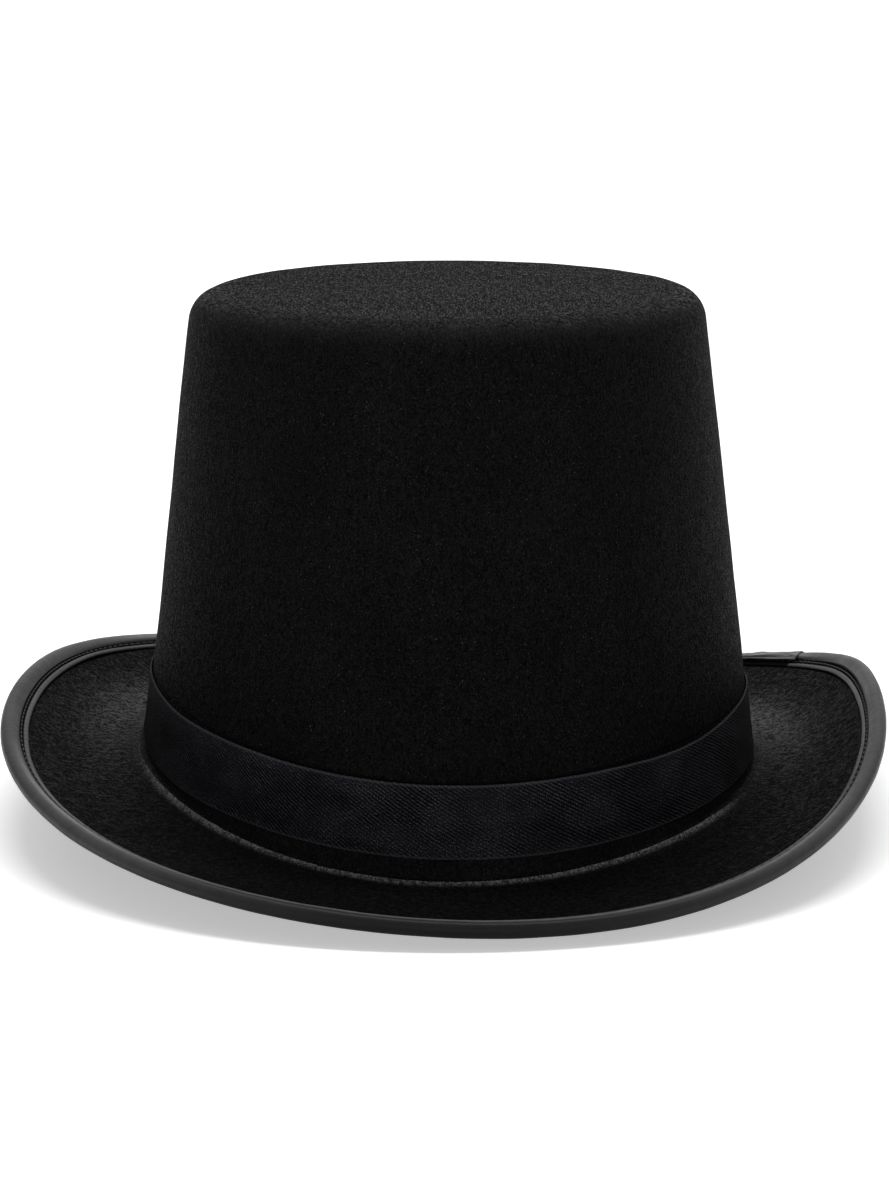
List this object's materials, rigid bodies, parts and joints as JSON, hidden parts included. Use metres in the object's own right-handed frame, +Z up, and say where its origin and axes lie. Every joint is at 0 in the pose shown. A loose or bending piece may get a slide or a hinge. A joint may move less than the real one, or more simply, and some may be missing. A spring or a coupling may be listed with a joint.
{
  "type": "top hat",
  "caption": "Black felt top hat with a tapered flat-topped crown, twill ribbon band, satin-bound wired brim curled up at the sides, lining and sweatband.",
  "frame": {"origin": "on the floor, under the middle of the hat's outline in plan, with the hat standing on its brim", "axes": "+Z up towards the flat tip, +Y towards the back of the hat, +X to the viewer's right when the hat is seen from the front (the wearer's left)"},
  "size_m": [0.2554, 0.306, 0.148],
  "materials": {
    "felt": "matt napped felt",
    "band_ribbon": "twill ribbon, slight sheen",
    "binding_satin": "satin",
    "thread": "polyester thread",
    "wire_steel": "drawn",
    "sweatband_ribbon": "ribbed ribbon",
    "lining_satin": "satin",
    "label": "woven tape, blank"
  },
  "bodies": {
    "root": {"felt_body": "felt", "hatband": "band_ribbon", "hatband_tacks": "thread", "brim_binding": "binding_satin", "binding_stitching": "thread", "brim_wire": "wire_steel", "wire_ferrule": "wire_steel", "sweatband": "sweatband_ribbon", "sweatband_stitching": "thread", "lining_side": "lining_satin", "lining_tip": "lining_satin", "care_label": "label"}
  },
  "joints": []
}
